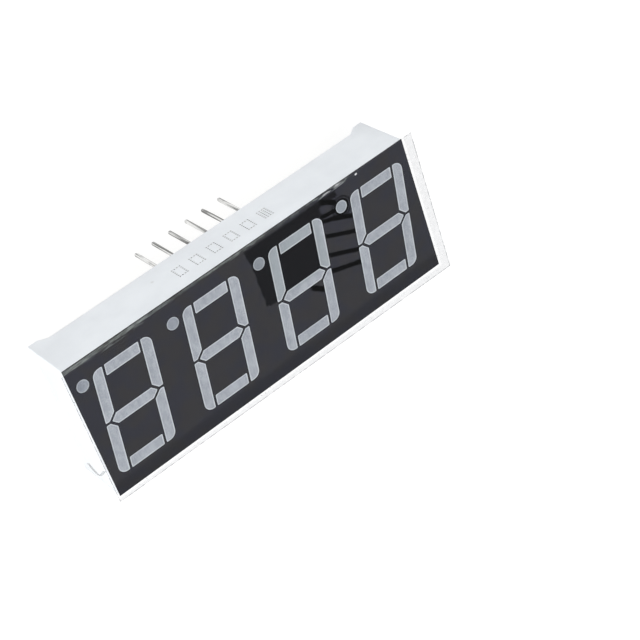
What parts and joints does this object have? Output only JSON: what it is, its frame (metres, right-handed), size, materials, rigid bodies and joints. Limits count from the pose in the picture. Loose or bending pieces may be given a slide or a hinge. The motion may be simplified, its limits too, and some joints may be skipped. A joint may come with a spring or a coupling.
{
  "type": "seven segment display module",
  "caption": "Row of slanted seven segment LED digits with decimal points in a white open-back housing, black face, pin rows behind, clear film on the face.",
  "frame": {"origin": "centre of the pin pattern, level with the undersides of the corner feet (the seating plane on a circuit board)", "axes": "+Z out of the face, +X in the reading direction, +Y towards the top of the digits"},
  "size_m": [0.0522, 0.0203, 0.0144],
  "materials": {
    "housing_plastic": "fine moulded white",
    "face_ink": "satin black print",
    "clear_film": "clear plastic film",
    "board_laminate": "glass-epoxy laminate",
    "copper": "etched copper foil",
    "rear_resin": "cast milky epoxy",
    "solder": "bright solder",
    "pin_metal": "tin plated",
    "segment_resin": "diffused epoxy",
    "led_die": "sawn crystal",
    "bond_wire": "drawn gold wire"
  },
  "bodies": {
    "root": {"reflector_housing": "housing_plastic", "face_ink": "face_ink", "protective_film": "clear_film", "circuit_board": "board_laminate", "board_copper": "copper", "rear_resin": "rear_resin", "solder_joints": "solder", "pin_01": "pin_metal", "pin_02": "pin_metal", "pin_03": "pin_metal", "pin_04": "pin_metal", "pin_05": "pin_metal", "pin_06": "pin_metal", "pin_07": "pin_metal", "pin_08": "pin_metal", "pin_09": "pin_metal", "pin_10": "pin_metal", "pin_11": "pin_metal", "pin_12": "pin_metal", "digit_1_segment_a": "segment_resin", "digit_1_segment_b": "segment_resin", "digit_1_segment_c": "segment_resin", "digit_1_segment_d": "segment_resin", "digit_1_segment_e": "segment_resin", "digit_1_segment_f": "segment_resin", "digit_1_segment_g": "segment_resin", "digit_1_decimal_point": "segment_resin", "digit_2_segment_a": "segment_resin", "digit_2_segment_b": "segment_resin", "digit_2_segment_c": "segment_resin", "digit_2_segment_d": "segment_resin", "digit_2_segment_e": "segment_resin", "digit_2_segment_f": "segment_resin", "digit_2_segment_g": "segment_resin", "digit_2_decimal_point": "segment_resin", "digit_3_segment_a": "segment_resin", "digit_3_segment_b": "segment_resin", "digit_3_segment_c": "segment_resin", "digit_3_segment_d": "segment_resin", "digit_3_segment_e": "segment_resin", "digit_3_segment_f": "segment_resin", "digit_3_segment_g": "segment_resin", "digit_3_decimal_point": "segment_resin", "digit_4_segment_a": "segment_resin", "digit_4_segment_b": "segment_resin", "digit_4_segment_c": "segment_resin", "digit_4_segment_d": "segment_resin", "digit_4_segment_e": "segment_resin", "digit_4_segment_f": "segment_resin", "digit_4_segment_g": "segment_resin", "digit_4_decimal_point": "segment_resin", "digit_1_led_chips": "led_die", "digit_2_led_chips": "led_die", "digit_3_led_chips": "led_die", "digit_4_led_chips": "led_die", "digit_1_bond_wires": "bond_wire", "digit_2_bond_wires": "bond_wire", "digit_3_bond_wires": "bond_wire", "digit_4_bond_wires": "bond_wire"}
  },
  "joints": []
}
